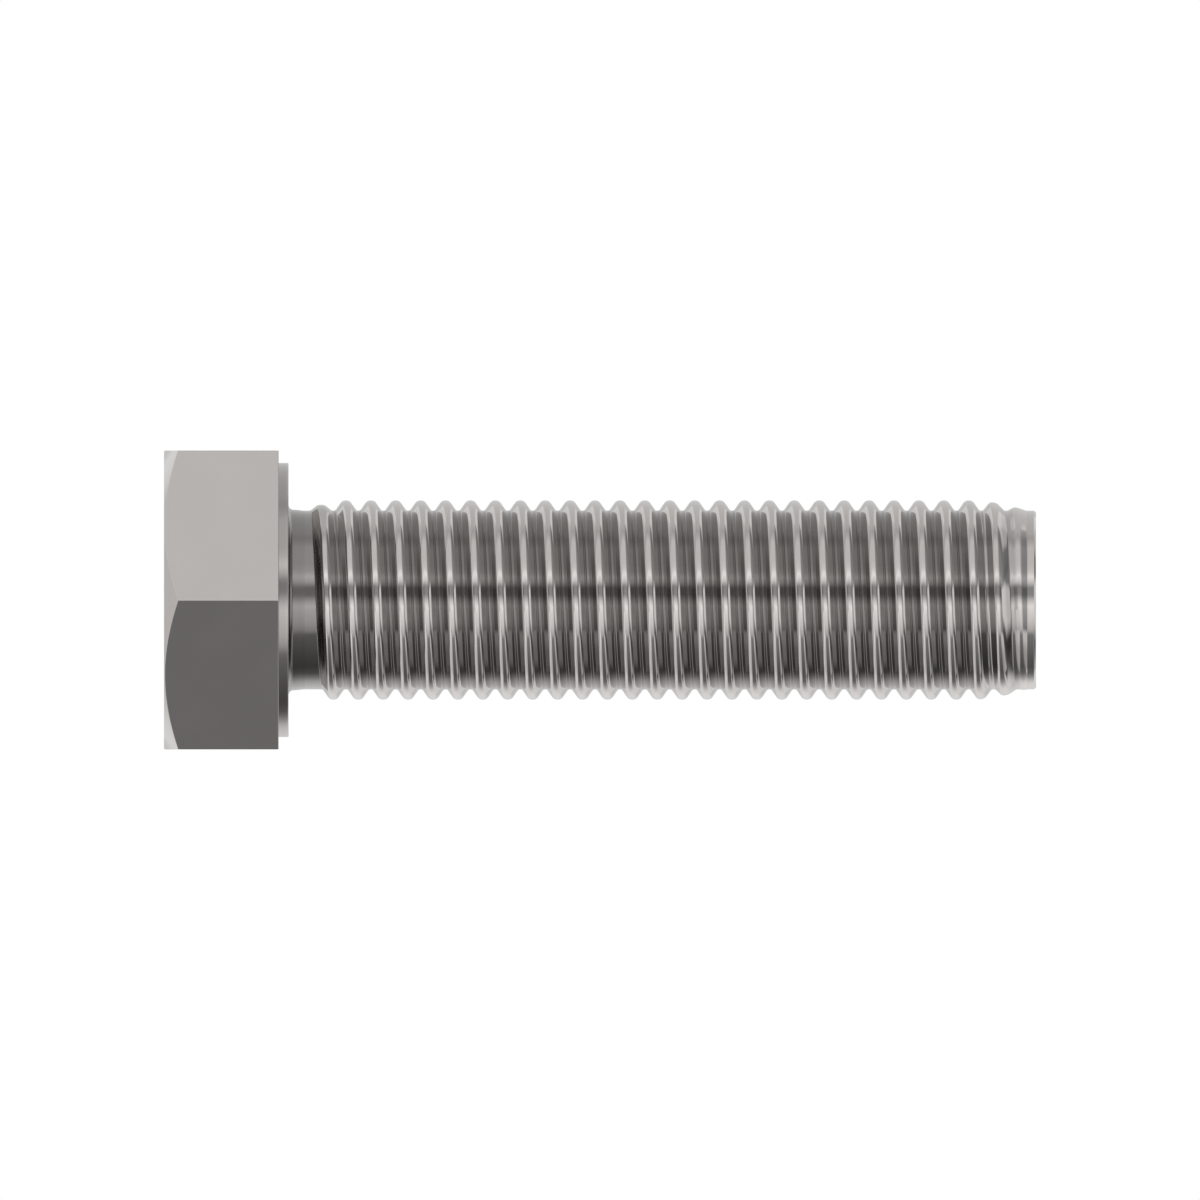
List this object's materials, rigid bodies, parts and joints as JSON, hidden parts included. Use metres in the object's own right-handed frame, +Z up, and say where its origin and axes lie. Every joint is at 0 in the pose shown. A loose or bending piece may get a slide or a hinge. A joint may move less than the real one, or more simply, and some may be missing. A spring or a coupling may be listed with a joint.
{
  "type": "hex bolt",
  "caption": "Fully threaded hexagon head bolt with a chamfered crown, a washer face and a right-hand coarse thread.",
  "frame": {"origin": "centre of the bearing face, under the head, where the bolt's axis meets the face that presses on the work", "axes": "+X along the bolt's axis from the head to the point, +Z up through the middle of a flat of the head, +Y through a corner of the head"},
  "size_m": [0.07, 0.0278, 0.024],
  "materials": {
    "head_steel": "plain polished steel, slightly warm grey, crisp edges",
    "bearing_steel": "fine turned steel with faint concentric marks",
    "thread_steel": "rolled thread, smooth and glossy, a little darker in the root"
  },
  "bodies": {
    "root": {"hex_head": "head_steel", "washer_face": "bearing_steel", "neck": "bearing_steel", "threaded_shank": "thread_steel", "point": "thread_steel"}
  },
  "joints": []
}
